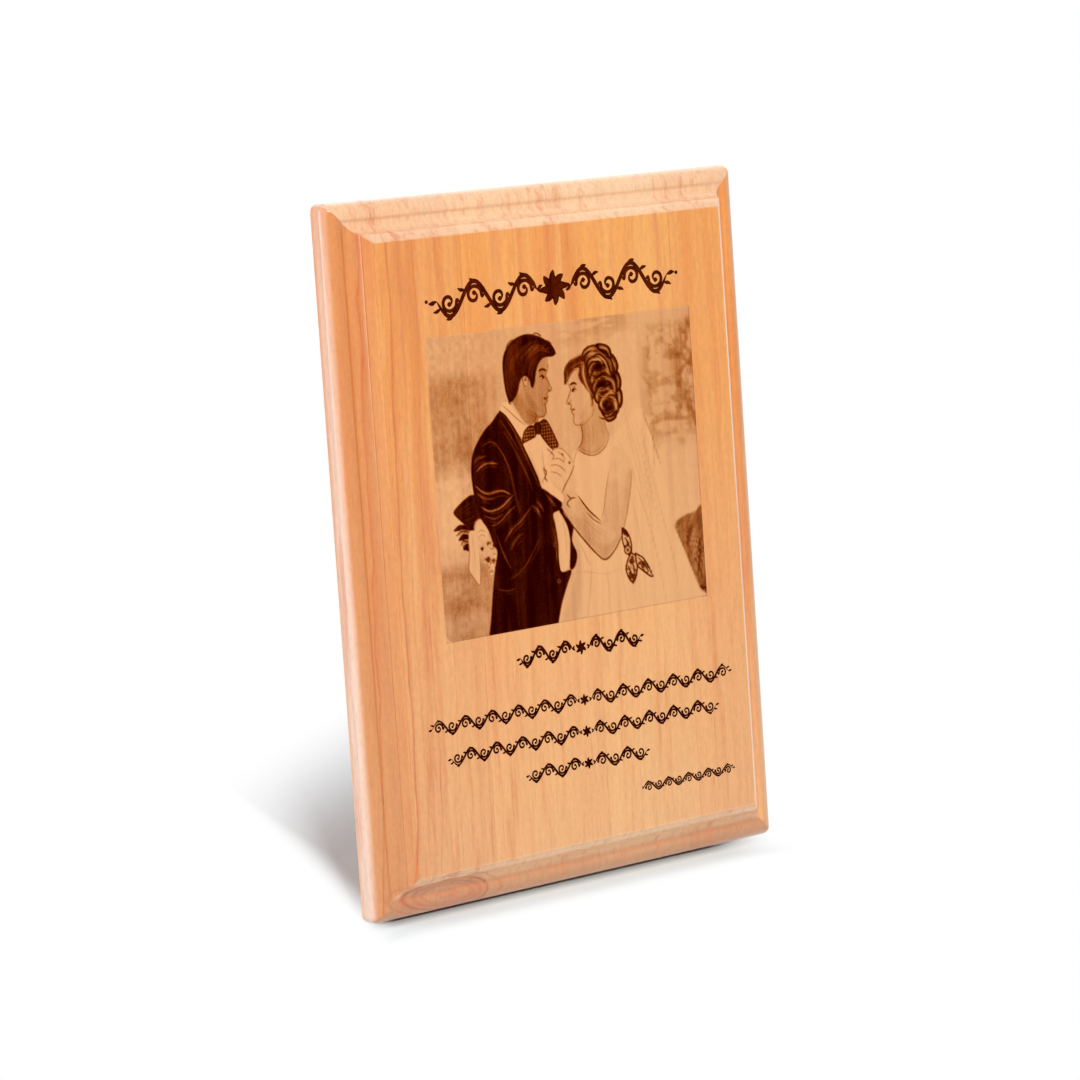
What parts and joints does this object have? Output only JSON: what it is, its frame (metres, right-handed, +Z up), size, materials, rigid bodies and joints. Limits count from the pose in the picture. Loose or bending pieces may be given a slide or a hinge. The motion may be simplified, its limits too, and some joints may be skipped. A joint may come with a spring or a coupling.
{
  "type": "engraved wooden plaque",
  "caption": "Solid wooden plaque with a routed ogee edge and an engraved picture on its face, standing on a hinged easel strut that folds flat against its back.",
  "frame": {"origin": "on the table below the middle of the standing plaque: midway across it, and midway between the face's lower edge and the strut's heel", "axes": "+Z up from the table, +X to the right seen from the front, and the plaque faces -Y, leaning back by 9 degrees"},
  "size_m": [0.2286, 0.0836, 0.3019],
  "materials": {
    "alder": "satin lacquer",
    "strut_wood": "sanded, unlacquered",
    "brass": "brushed",
    "steel": "zinc plated",
    "rubber": "matte"
  },
  "bodies": {
    "plaque": {"stave_1": "alder", "stave_2": "alder", "stave_3": "alder", "stave_4": "alder", "hinge_plaque_leaf": "brass", "hinge_pin": "brass", "plaque_screw_1": "brass", "plaque_screw_2": "brass", "plaque_screw_3": "brass", "sawtooth_hanger": "steel", "hanger_nail_1": "steel", "hanger_nail_2": "steel", "bumper_left": "rubber", "bumper_right": "rubber"},
    "easel": {"easel_strut": "strut_wood", "hinge_strut_leaf": "brass", "strut_screw_1": "brass", "strut_screw_2": "brass", "strut_screw_3": "brass"}
  },
  "joints": [
    {"name": "easel_hinge", "type": "hinge", "parent": "plaque", "child": "easel", "pos_m": [0, 0.00652, 0.18718], "axis": [-1, 0, 0], "range_deg": [0, 16.5]}
  ]
}
